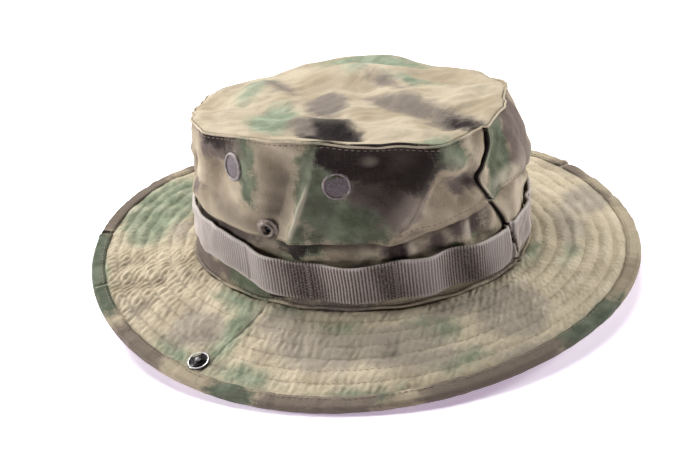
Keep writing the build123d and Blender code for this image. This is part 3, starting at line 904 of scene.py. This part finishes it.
# ---- webbing ----
web_stand = around([
    (-56, 1.2), (-40, 1.4), (-26, 2.2), (-14, 1.6), (-6, 0.6), (2, 5.2), (9, 2.6), (15, 0.5), (22, 3.2),
    (29, 6.2), (35, 3.0), (41, 0.4), (47, 4.0), (52, 5.2), (57, 1.8), (62, 0.4), (68, 4.0), (74, 5.4),
    (80, 3.0), (87, 0.8), (96, 0.8), (104, 2.4), (112, 1.0), (126, 4.2), (140, 0.9), (154, 4.2), (168, 0.9),
    (182, 4.2), (196, 0.9), (210, 4.2), (224, 0.9), (238, 4.2), (252, 0.9), (264, 3.0), (274, 0.9),
    (286, 1.4), (300, 0.6), (312, 1.0), (322, 2.6),
], blur=2.0)
# painted light along the webbing, by angle: painted highlight where it faces the light (1), painted shade
# where it turns away (-1)
web_painted_light_by_angle = around([
    (-84, 0.2), (-62, 0.8), (-25, 0.9), (-12, 0.6), (-4, 0.9), (1, 0.7), (6, 0.1), (10, -0.8), (17, -0.9),
    (21, 0.0), (24, 0.3), (27, -0.4), (31, 0.5), (34, -0.1), (38, -1.1), (42, -0.5), (46, 0.4), (53, 0.6),
    (58, 0.1), (63, -0.8), (67, -0.7), (71, 0.5), (78, 0.9), (84, 0.8), (92, 0.8), (115, 0.6), (150, 0.0),
    (180, 0.4), (210, -0.3), (240, 0.3), (270, -0.2), (285, 0.4),
], blur=1.6)
TACKS = (15, 41, 62, 112, 140, 168, 196, 224, 252, 274, 300, 354)


def web_point(angle, up, extra=0.0):
    """Points on the webbing's outside. up is 0 at its lower edge and 1 at its upper edge."""
    height = web_low(angle) + up * WEB_WIDTH + 0.5 * np.sin(np.radians(angle * 9.0)) * (up - 0.3)
    bridging = crown_point(angle, np.full(np.shape(height), 20.0), band=True)
    points = crown_point(angle, height, band=True)
    snug = 0.35 + 0.6 * bump(wrap(angle), -38, 32) + 0.5 * bump(wrap(angle), 112, 16)
    snug = np.broadcast_to(snug, height.shape)[..., None]
    points[..., :2] = points[..., :2] * snug + bridging[..., :2] * (1 - snug)
    seam = arc_length(wrap(angle - back_seam(height)))
    stand = web_stand(angle) + 1.1 + 0.9 * bump(up, 1.0, 0.45) + extra
    stand = stand + 1.0 * bump(seam, -4.0, 3.0) - 3.2 * bump(seam, -0.4, 1.1)
    points[..., :2] += outwards(angle) * stand[..., None]
    return points


def webbing(ribs=372, per_rib=6):
    """One band of ribbed webbing, tacked down at intervals, with real ribs."""
    angle, up = ring_grid(ribs * per_rib, 12)
    rib = np.cos(2 * pi * np.arange(ribs * per_rib) / per_rib) * np.ones_like(up)
    edge = 1 - ramp(np.abs(up - 0.5), 0.47, 0.5)
    seam = arc_length(wrap(angle - back_seam(web_low(angle) + up * WEB_WIDTH)))
    # painted highlight along the top and bottom edges, and near-black painted shadow in the back seam's
    # groove
    painted_web_light = web_painted_light_by_angle(angle + 3 * (up - 0.5)) + 0.7 * bump(up, 1.0, 0.04) + 0.3 * bump(up, 0.0, 0.04)
    fields = {"wear_and_painted_light": rib, "painted_web_light": painted_web_light - 4.0 * bump(seam, -0.3, 1.2)}
    uv = np.stack([arc_length(angle), up * WEB_WIDTH], -1)
    points = web_point(angle, up, 0.30 * rib * edge)
    piece = cloth_solid("webbing", points, web_cloth, 1.2, uv, fields, closed=True)
    settle(piece, "crown", "webbing", "webbing_band")


# ---- stitches ----
# one bead of thread: place along it, share of the full thickness, share of the rise
BEAD = ((-0.5, 0.35, -0.35), (-0.3, 0.95, 0.0), (0.0, 1.0, 0.15), (0.3, 0.95, 0.0), (0.5, 0.35, -0.35))
BEAD_SIDES = 5


def beads(path, normal, length, gap, radius):
    """Points [stitch, ring, side] of the beads along one path."""
    run = np.concatenate([[0], np.cumsum(np.linalg.norm(np.diff(path, axis=0), axis=1))])
    count = int(run[-1] / (length + gap))
    middles = (np.arange(count) + 0.5) * run[-1] / count

    def along_path(places, values):
        return np.stack([np.interp(places, run, values[:, k]) for k in range(3)], -1)

    at = along_path(middles, path)
    ahead = unit(along_path(middles + 0.6, path) - at)
    top = unit(along_path(middles, normal))
    side = np.cross(ahead, top)
    turn = np.linspace(0, 2 * pi, BEAD_SIDES, endpoint=False)[:, None]
    ring = side[:, None] * np.cos(turn) + top[:, None] * np.sin(turn)
    rings = []
    for along, thick, rise in BEAD:
        centre = at + ahead * (along * length) + top * (rise * radius * 2)
        rings.append(centre[:, None] + ring * radius * thick)
    return np.stack(rings, 1)


def stitches(name, paths, material, length=2.1, gap=1.0, radius=0.22):
    """Rows of thread: each stitch is a short bead that dips into the cloth at both ends."""
    points = np.concatenate([beads(path, normal, length, gap, radius) for path, normal in paths])
    rings = len(BEAD)
    one = quads(rings, BEAD_SIDES, closed=True).tolist()
    one += [list(range(BEAD_SIDES)), [(rings - 1) * BEAD_SIDES + i for i in range(BEAD_SIDES)][::-1]]
    firsts = np.arange(len(points)) * rings * BEAD_SIDES
    faces = [[first + i for i in face] for first in firsts.tolist() for face in one]
    return new_mesh(name, points, faces, material)


def stitches(name, paths, material, length=2.1, gap=1.0, radius=0.22, sides=5):
    """Rows of thread: each stitch is a short bead that dips into the cloth at both ends."""
    all_points, all_faces, base = [], [], 0
    profile = ((-0.5, 0.35, -0.35), (-0.3, 0.95, 0.0), (0.0, 1.0, 0.15), (0.3, 0.95, 0.0), (0.5, 0.35, -0.35))
    turn = np.linspace(0, 2 * pi, sides, endpoint=False)
    for path, normal in paths:
        steps = np.linalg.norm(np.diff(path, axis=0), axis=1)
        run = np.concatenate([[0], np.cumsum(steps)])
        count = int(run[-1] / (length + gap))
        if count < 1:
            continue
        middles = (np.arange(count) + 0.5) * run[-1] / count
        at = np.stack([np.interp(middles, run, path[:, k]) for k in range(3)], -1)
        ahead = np.stack([np.interp(middles + 0.6, run, path[:, k]) for k in range(3)], -1) - at
        ahead /= np.maximum(np.linalg.norm(ahead, axis=1, keepdims=True), 1e-9)
        top = np.stack([np.interp(middles, run, normal[:, k]) for k in range(3)], -1)
        top /= np.linalg.norm(top, axis=1, keepdims=True)
        side = np.cross(ahead, top)
        bead = []
        for along, thick, rise in profile:
            centre = at + ahead * (along * length) + top * (rise * radius * 2)
            ring = side[:, None] * np.cos(turn)[None, :, None] + top[:, None] * np.sin(turn)[None, :, None]
            bead.append(centre[:, None] + ring * radius * thick)
        bead = np.stack(bead, 1)
        rings = len(profile)
        one = quads(rings, sides, closed=True).tolist()
        one += [list(range(sides)), [(rings - 1) * sides + i for i in range(sides)][::-1]]
        for k in range(count):
            all_faces += [[base + k * rings * sides + i for i in face] for face in one]
        all_points.append(bead.reshape(-1, 3))
        base += count * rings * sides
    return new_mesh(name, np.concatenate(all_points), all_faces, material)


def surface_row(point, angles, level, lift=0.05):
    """Path and normals for a row of stitches on a surface given by point(angle, level)."""
    level = np.broadcast_to(level, angles.shape)
    across = point(angles + 0.3, level) - point(angles - 0.3, level)
    up = point(angles, level + 0.01) - point(angles, level - 0.01)
    normal = unit(np.cross(across, up))
    return point(angles, level) + normal * lift, normal


def crown_row(height, stand, band=False):
    """Row of stitches round the crown: height is a function of the angle."""
    def point(angle, rise):
        return crown_point(angle, height(angle) + rise, stand, band)

    return surface_row(point, np.linspace(-89, 269, 1400), 0.0)


def crown_stitching():
    """Topstitching beside the crown's seams, and bar tacks through the webbing."""
    rows = [
        crown_row(lambda angle: tip_seam(angle) - 2.2, 1.1),
        crown_row(lambda angle: low_seam(angle) + 1.2, 1.4),
        crown_row(lambda angle: 4.6, 0.15, band=True),
    ]
    settle(stitches("crown_topstitching", rows, thread), "crown", "thread")
    bars = []
    up = np.linspace(0.04, 0.96, 60)
    for tack in TACKS:
        for turn in (-0.18, 0.0, 0.18):
            path = web_point(np.full(up.shape, tack + turn), up, 0.22)
            bars.append((path, unit(path * (1, 1, 0))))
    piece = stitches("webbing_tack_stitches", bars, dark_thread, 1.2, 0.25, 0.2)
    settle(piece, "crown", "thread", "webbing_bar_tacks")


# ---- inside of the crown ----
def inner_cloth():
    """Sweatband and the tapes over the inner seams."""
    angle, up = ring_grid(480, 16)
    height = -2.2 + up * 33
    points = crown_point(angle, np.minimum(height, 16.0), -1.6, band=True)
    points[..., 2] = height + 0.4 * np.sin(np.radians(angle * 11)) * up
    points[..., :2] *= 1 - 0.006 * (ripples(points[..., :2], 60, 41) * up)[..., None]
    uv = np.stack([arc_length(angle), height], -1)
    band = cloth_solid("sweatband_cloth", points, sweat_cloth, 1.3, uv, closed=True)
    settle(band, "crown", "sweatband_cloth", "sweatband")
    for end, seam in (("back", back_seam), ("front", front_seam)):
        across, up = np.meshgrid(np.linspace(-6, 6, 14), np.linspace(0, 1, 40))
        level = 32 + up * (float(tip_seam(seam(70))) - 42)
        points = crown_point(seam(level) + across / MM_PER_DEGREE, level, -1.7)
        tape = cloth_solid(f"inner_tape_{end}", points, tape_cloth, 0.8, np.stack([across, level], -1))
        settle(tape, "crown", "tape", f"seam_tape_{end}")
    angle, up = ring_grid(420, 8)
    height = tip_seam(angle) - 9 + up * 7
    uv = np.stack([arc_length(angle), height], -1)
    points = crown_point(angle, height, -0.6)
    tape = cloth_solid("inner_tape_tip", points, tape_cloth, 0.8, uv, closed=True)
    settle(tape, "crown", "tape", "seam_tape_tip")


# ---- brim pieces ----
def brim_surface(angle, share, side=1):
    """Points on the brim's upper (side 1) or lower (side -1) cloth."""
    height, _ = quilting(angle, share, side)
    lift = side * (HALF_STACK + height * 0.9)
    return brim_middle(angle, share) + brim_normal(angle, share) * lift[..., None]


def fold_across(piece, flap, slot, *replaced):
    """Bakes the piece's place into its mesh and hides the plain solids it stands for; flap and slot are not
    used.
    """
    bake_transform(piece)
    if replaced:
        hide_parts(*replaced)


def brim_half(flap, centre, start, cover, columns, rows):
    """Half of one brim cover, from the middle plane round to the middle plane."""
    side = 1 if cover == "upper" else -1
    angles = np.linspace(start, start + 180, columns)[::-side]
    angle, share = np.meshgrid(angles, np.linspace(0.004, 0.985, rows))
    height, in_row = quilting(angle, share, side)
    # paler on the puffed cloth between the rows, painted highlight, and darker deep in the rows; darker near
    # angle -30: painted shade
    wear_and_painted_light = 0.5 * (height - 0.7) - 0.25 * in_row**6 - 0.4 * bump(wrap(angle), -30, 12) * bump(share, 0.65, 0.3)
    fields = print_fields(lambda shapes: brim_stain(angle, share, shapes), BRIM_PRINT[cover], wear_and_painted_light)
    middle = brim_middle(angle, share)
    flat = middle + brim_normal(angle, share) * (side * 0.5)
    uv = middle[..., :2] + (0 if side == 1 else 900)
    outer = brim_surface(angle, share, side)
    piece = shell(f"brim_{cover}_cloth_{flap}", outer, flat, brim_cloth, uv=uv, fields=fields)
    replaced = [f"brim_{cover}_rear_{flap}", f"brim_{cover}_front_{flap}", f"brim_{cover}_{centre}_centre"]
    if cover == "upper":
        fold_across(piece, flap, "brim_cloth", *replaced, f"brim_side_seam_{flap}")
    else:
        layers = (f"brim_interlining_{flap}", f"brim_interlining_{centre}")
        fold_across(piece, flap, "brim_under_cloth", *replaced, *layers)


def binding_outline():
    """Section of the folded strip: distance outwards from the brim's edge, and height."""
    near = 1.06 * BINDING_HALF
    upper = [(1.0, 0.80), (1.0, 1.0), (0.75, 1.12), (0.4, 1.10)]
    lower = [(0.4, 1.08), (0.75, 1.05), (1.0, 1.0), (1.0, 0.80)]
    nose = [(-1.4 + 2.1 * sin(a), near * cos(a)) for a in np.linspace(0.15, pi - 0.15, 9)]
    return np.array([
        *((-BINDING_WIDTH * back, BINDING_HALF * up) for back, up in upper),
        (-1.6, near), *nose, (-1.6, -near),
        *((-BINDING_WIDTH * back, -BINDING_HALF * up) for back, up in lower),
    ])


def binding_wave(angle, plan):
    """Unevenness of the binding, nipped in where a strip starts or ends."""
    wave = 0.35 * ripples(plan, 18, 81) + 0.2 * ripples(plan, 7, 82)
    for join in BINDING_JOINS:
        nip = 2.2 * bump(wrap(angle - join) * EDGE_MM_PER_DEGREE, 0, 1.0)
        wave -= nip - 1.2 * bump(wrap(angle - join - 1.2) * EDGE_MM_PER_DEGREE, 0, 1.5)
    return wave


def binding_half(flap, centre, start):
    """Folded strip over the brim's edge, with its soft rounded nose."""
    angle = np.linspace(start, start + 180, 460)
    edge, normal, inward = edge_frame(angle)
    wave = binding_wave(angle, edge[:, :2])
    outline = binding_outline()
    grid = []
    for out, up in outline:
        rise = up + (1 if up > 0 else 0.6) * wave * np.sign(up) * 0.8
        grid.append(edge - inward * out * (1 + 0.03 * wave[:, None]) + normal * rise[:, None])
    points = np.stack(grid)
    theta = np.radians(angle)
    wide_x, wide_y = BRIM_HALF_WIDTH - HALF_WIDTH, BRIM_HALF_LENGTH - HALF_LENGTH
    share = 1 + outline[:, :1] / np.hypot(wide_x * np.cos(theta), wide_y * np.sin(theta))
    turn = np.broadcast_to(angle, share.shape)
    # darker on the underside and along the inner edge where it meets the brim: painted shade
    wear_and_painted_light = -0.5 * (outline[:, 1:] < 0) - 0.3 * (outline[:, :1] < 1 - BINDING_WIDTH)
    wear_and_painted_light = np.broadcast_to(wear_and_painted_light, share.shape)
    fields = print_fields(lambda shapes: brim_stain(turn, share, shapes), BINDING_PRINT, wear_and_painted_light)
    uv = np.stack([turn * EDGE_MM_PER_DEGREE + 1500, np.cumsum(np.full(share.shape, 1.6), 0)], -1)
    core = edge + inward * (BINDING_WIDTH * 0.5)
    inner = core + (points - core) * 0.86
    piece = shell(f"brim_edge_binding_{flap}", points, inner, binding_cloth, uv=uv, fields=fields)
    fold_across(piece, flap, "binding", f"brim_binding_{flap}", f"brim_binding_{centre}")


def brim_stitching(flap, start):
    """Rows of stitching through the brim, and the row that holds its binding."""
    angles = np.linspace(start + 0.2, start + 179.8, 900)
    rows = [surface_row(brim_surface, angles, row / STITCH_ROWS, -0.02) for row in range(1, STITCH_ROWS)]
    rows = [(path, -normal if normal[0, 2] < 0 else normal) for path, normal in rows]
    fold_across(stitches(f"brim_stitch_rows_{flap}", rows, brim_thread, radius=0.18), flap, "thread")
    hem, up, inward = edge_frame(angles)
    path = hem + inward * (BINDING_WIDTH - 1.6) + up * (BINDING_HALF * 1.16)
    fold_across(stitches(f"binding_topstitching_{flap}", [(path, up)], thread), flap, "thread")


def brim():
    """Upper and under cloth, binding and stitching of the brim."""
    for flap, centre, start in (("left", "rear", -90), ("right", "front", 90)):
        brim_half(flap, centre, start, "upper", 900, 76)
        brim_half(flap, centre, start, "lower", 500, 60)
        binding_half(flap, centre, start)
        brim_stitching(flap, start)


# ---- vents and snaps ----
# turned parts: profiles of (radius, height) in mm; one that ends where it starts makes a ring
VENT_RING = [
    (6.0, 0.2), (6.05, 0.75), (6.35, 1.05), (6.9, 1.1), (7.35, 0.8), (7.6, 0.3), (7.6, -0.4), (6.6, -0.4),
    (6.55, -3.2), (6.2, -3.2), (6.0, 0.2),
]
VENT_BACK = [(6.7, 0), (7.6, -0.1), (7.7, -0.5), (7.2, -0.8), (6.7, -0.7), (6.7, 0)]
SOCKET = [
    (1.9, -0.2), (1.9, 0.5), (2.6, 0.7), (2.7, 1.9), (3.1, 2.3), (3.9, 2.3), (4.4, 1.9), (4.7, 1.2),
    (5.6, 1.1), (6.1, 0.9), (6.35, 0.5), (6.3, 0.0), (5.6, -0.3), (1.9, -0.2),
]
RIVET = [
    (0.2, 0.3), (1.8, 0.3), (1.8, -2.6), (5.6, -2.7), (5.8, -3.0), (5.5, -3.4), (3.0, -3.7), (0.2, -3.75),
]
SNAP_RING = [
    (4.9, -0.1), (5.0, 0.15), (5.25, 0.3), (5.5, 0.32), (5.75, 0.25), (6.0, 0.05), (6.1, -0.2), (5.6, -0.5),
    (4.9, -0.5), (4.9, -0.1),
]
STUD = [
    (0.1, 1.3), (1.3, 1.3), (1.9, 1.15), (2.15, 0.9), (1.9, 0.6), (1.8, 0.2), (4.85, -0.05), (4.9, -0.35),
    (1.8, -0.45), (1.8, -3.6), (0.1, -3.6),
]
CAP = [(0.1, 0.2), (1.9, 0.2), (5.4, 0.2), (5.8, -0.1), (5.7, -0.7), (5.0, -1.1), (3.0, -1.35), (0.1, -1.4)]


def lathe(name, profile, plane, material, segments=48):
    """Turned part on a plane (origin, x, y, normal). A profile that doesn't close is capped with discs."""
    origin, x, y, normal = plane
    turn = np.linspace(0, 2 * pi, segments, endpoint=False)[:, None]
    spokes = np.cos(turn) * x + np.sin(turn) * y
    hollow = profile[0] == profile[-1]
    rings = profile[:-1] if hollow else profile
    points = [origin + normal * height + spokes * radius for radius, height in rings]
    faces = quads(len(rings) + hollow, segments, closed=True) % (len(rings) * segments)
    faces = faces.tolist()
    if not hollow:
        last = (len(rings) - 1) * segments
        faces += [list(range(segments))[::-1], [last + i for i in range(segments)]]
    return new_mesh(name, np.concatenate(points), faces, material)


def crown_plane(angle, height, side, lift):
    """Plane that touches the crown's cloth, mirrored for the right side."""
    turn = angle if side == "left" else 180 - angle
    across = unit(crown_point(turn + 3, height, lift) - crown_point(turn - 3, height, lift))
    up = crown_point(turn, height + 9, lift) - crown_point(turn, height - 9, lift)
    normal = unit(np.cross(across, up))
    return crown_point(turn, height, lift), across, np.cross(normal, across), normal


def brim_plane(angle, share, side, lift):
    """Plane along the brim, mirrored for the right side."""
    turn = angle if side == "left" else 180 - angle
    normal = brim_normal(turn, share)
    x = unit(np.cross(normal, (0.0, 1.0, 0.0)))
    return brim_middle(turn, share) + normal * lift, x, np.cross(normal, x), normal


def vent_screen(name, plane, radius=6.15, rings=30, segments=96):
    """Slightly domed disc of woven wire."""
    origin, x, y, normal = plane
    turn, share = np.meshgrid(np.linspace(0, 2 * pi, segments, endpoint=False), np.linspace(1, 0.01, rings))
    u, v = share * radius * np.cos(turn), share * radius * np.sin(turn)
    weave = 0.10 * np.sin(2 * pi * u / 0.95) * np.sin(2 * pi * v / 0.95)
    level = 0.35 + 0.55 * (1 - share**2) + weave
    top = origin + u[..., None] * x + v[..., None] * y + level[..., None] * normal
    return shell(name, top, top - normal * 0.3, vent_mesh, closed=True)


def vents(side):
    """Eyelet ring, woven screen and inner washer of each vent."""
    drop = RIGHT_VENT_DROP if side == "right" else 0
    for place, (angle, height) in VENTS.items():
        where = f"{side}_{place}"
        plane = crown_plane(angle, height - drop, side, 1.25)
        origin, x, y, normal = plane
        under = (origin - normal * 2.4, x, y, normal)
        ring = lathe(f"vent_ring_{where}", VENT_RING, plane, vent_metal)
        settle(ring, "crown", "vent_metal", f"vent_eyelet_{where}")
        settle(vent_screen(f"vent_wire_screen_{where}", plane), "crown", "vent_mesh", f"vent_screen_{where}")
        back = lathe(f"vent_back_{where}", VENT_BACK, under, vent_metal)
        settle(back, "crown", "vent_metal", f"vent_washer_{where}")


def snaps(side):
    """Socket on the crown and stud on the brim."""
    flap = f"{side}_flap"
    crown = crown_plane(*SNAP_ON_CROWN, side, 1.4)
    above = brim_plane(*SNAP_ON_BRIM, side, HALF_STACK + 0.5)
    below = brim_plane(*SNAP_ON_BRIM, side, -HALF_STACK - 0.4)
    for name, node, profile, plane, material, body, slot in (
        ("crown_socket", "crown_snap_socket", SOCKET, crown, bronze, "crown", "snap_bronze"),
        ("crown_rivet", "crown_snap_rivet", RIVET, crown, black_metal, "crown", "snap_bronze"),
        ("brim_ring", "brim_snap_ring", SNAP_RING, above, nickel, flap, "snap_nickel"),
        ("brim_stud", "brim_snap_stud", STUD, above, black_metal, flap, "snap_dark"),
        ("brim_cap", "brim_snap_cap", CAP, below, nickel, flap, "snap_nickel"),
    ):
        settle(lathe(f"{name}_{side}", profile, plane, material), body, slot, f"{node}_{side}")


# ---- floor, lights and camera ----
CAMERA_AZIMUTH = 126.47
CAMERA_HEIGHT_ANGLE = 25.64
CAMERA_DISTANCE = 0.8
CAMERA_ROLL = 7.25
LENS = 71.4
SHIFT = (-0.0129, 0.0051)


def view_axes():
    """Directions towards the camera, to the picture's right and up, before the roll."""
    a, e = radians(CAMERA_AZIMUTH), radians(CAMERA_HEIGHT_ANGLE)
    back = Vector((sin(a) * cos(e), -cos(a) * cos(e), sin(e)))
    right = Vector((cos(a), sin(a), 0))
    return back, right, back.cross(right)


def camera():
    """The camera that sees the hat as it was fitted, from its left and rear."""
    back, right, up = view_axes()
    roll = radians(CAMERA_ROLL)
    tilted_right = right * cos(roll) - up * sin(roll)
    tilted_up = right * sin(roll) + up * cos(roll)
    place = back * CAMERA_DISTANCE + Vector((0, 0, SEAM_Z * MM))
    data = bpy.data.cameras.new("camera")
    data.lens = LENS
    data.sensor_width = 36
    data.shift_x, data.shift_y = SHIFT
    view = bpy.data.objects.new("camera", data)
    turn = Matrix((tilted_right, tilted_up, back)).transposed().to_4x4()
    view.matrix_world = Matrix.Translation(place) @ turn
    bpy.context.scene.collection.objects.link(view)
    bpy.context.scene.camera = view


def area_light(name, place, aim, size, power):
    """Square soft light at a place, turned to a point."""
    data = bpy.data.lights.new(name, "AREA")
    data.size = size
    data.energy = power
    light = bpy.data.objects.new(name, data)
    light.location = place
    light.rotation_euler = (Vector(aim) - Vector(place)).to_track_quat("-Z", "Y").to_euler()
    bpy.context.scene.collection.objects.link(light)


def studio():
    """White floor and soft light from behind, above and the left, as round a product table."""
    bpy.ops.mesh.primitive_plane_add(size=12, location=(0, 0, 0))
    floor = bpy.context.object
    floor.name = "floor"
    n = Nodes("floor_white")
    n.shader.inputs["Emission Color"].default_value = (0.93, 0.76, 1.0, 1)
    n.shader.inputs["Emission Strength"].default_value = 0.42
    floor.data.materials.append(n.finish((0.93, 0.925, 0.94, 1), 0.9))
    back, right, _ = view_axes()
    level = Vector((back.x, back.y, 0)).normalized()
    area_light("key", -level * 0.85 - right * 0.8 + Vector((0, 0, 1.1)), (0, 0, 0.05), 0.5, 25)
    area_light("top", -level * 0.05 + Vector((0, 0, 1.5)), (0, 0, 0.05), 0.7, 17)
    area_light("left", -right * 1.35 - level * 0.05 + Vector((0, 0, 0.42)), (0, 0, 0.06), 0.3, 16)
    area_light("right", right * 1.3 - level * 0.2 + Vector((0, 0, 0.5)), (0, 0, 0.06), 0.3, 16)
    world = bpy.data.worlds.new("world")
    world.use_nodes = True
    world.node_tree.nodes["Background"].inputs["Color"].default_value = (0.96, 0.95, 1.0, 1)
    world.node_tree.nodes["Background"].inputs["Strength"].default_value = 0.04
    bpy.context.scene.world = world
    bpy.context.scene.view_settings.view_transform = "Standard"


for side in ("left", "right"):
    crown_panel(side)
    crown_band(side)
    vents(side)
    snaps(side)
crown_tip()
welts()
webbing()
crown_stitching()
inner_cloth()
brim()
camera()
studio()
